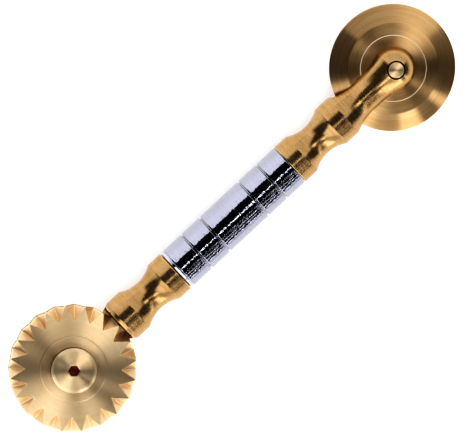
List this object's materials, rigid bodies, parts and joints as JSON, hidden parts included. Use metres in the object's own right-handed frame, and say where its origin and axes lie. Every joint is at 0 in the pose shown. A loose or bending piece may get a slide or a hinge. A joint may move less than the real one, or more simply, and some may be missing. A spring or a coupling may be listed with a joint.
{
  "type": "double-ended pastry cutter wheel",
  "caption": "Hand tool for cutting and crimping pastry: a chromed grip with a brass arm at each end, one carrying a plain knife wheel and the other a zigzag crimping wheel.",
  "frame": {"origin": "on the grip's axis, midway between the two wheel pivots, which is the centre of the bounding box", "axes": "+X along the grip from the crimping wheel to the plain wheel, +Z along both wheel pivots, up, with the tool lying flat on the plain wheel's screw head, and +Y across the grip"},
  "size_m": [0.1706, 0.0384, 0.0154],
  "materials": {
    "polished_brass": "polished",
    "turned_brass": "satin, with fine turning rings",
    "chrome": "mirror",
    "zinc_steel": "zinc plated"
  },
  "bodies": {
    "root": {"crimping_arm": "polished_brass", "crimping_arm_washer": "turned_brass", "crimping_head_washer": "turned_brass", "crimping_pivot_screw": "turned_brass", "end_ring": "chrome", "grip_sleeve_1": "chrome", "grip_spacer_1": "chrome", "grip_sleeve_2": "chrome", "grip_spacer_2": "chrome", "grip_sleeve_3": "chrome", "grip_spacer_3": "chrome", "grip_sleeve_4": "chrome", "grip_spacer_4": "chrome", "grip_sleeve_5": "chrome", "tie_rod": "zinc_steel", "plain_arm": "polished_brass", "plain_arm_washer": "turned_brass", "plain_head_washer": "turned_brass", "plain_pivot_screw": "turned_brass"},
    "crimping_wheel": {"crimping_wheel": "turned_brass"},
    "plain_wheel": {"plain_wheel": "turned_brass"}
  },
  "joints": [
    {"name": "crimping_wheel_spin", "type": "hinge", "parent": "root", "child": "crimping_wheel", "pos_m": [-0.0661, 0, 0.0022], "axis": [0, 0, 1], "continuous": true},
    {"name": "plain_wheel_spin", "type": "hinge", "parent": "root", "child": "plain_wheel", "pos_m": [0.0661, 0, -0.0022], "axis": [0, 0, 1], "continuous": true}
  ]
}
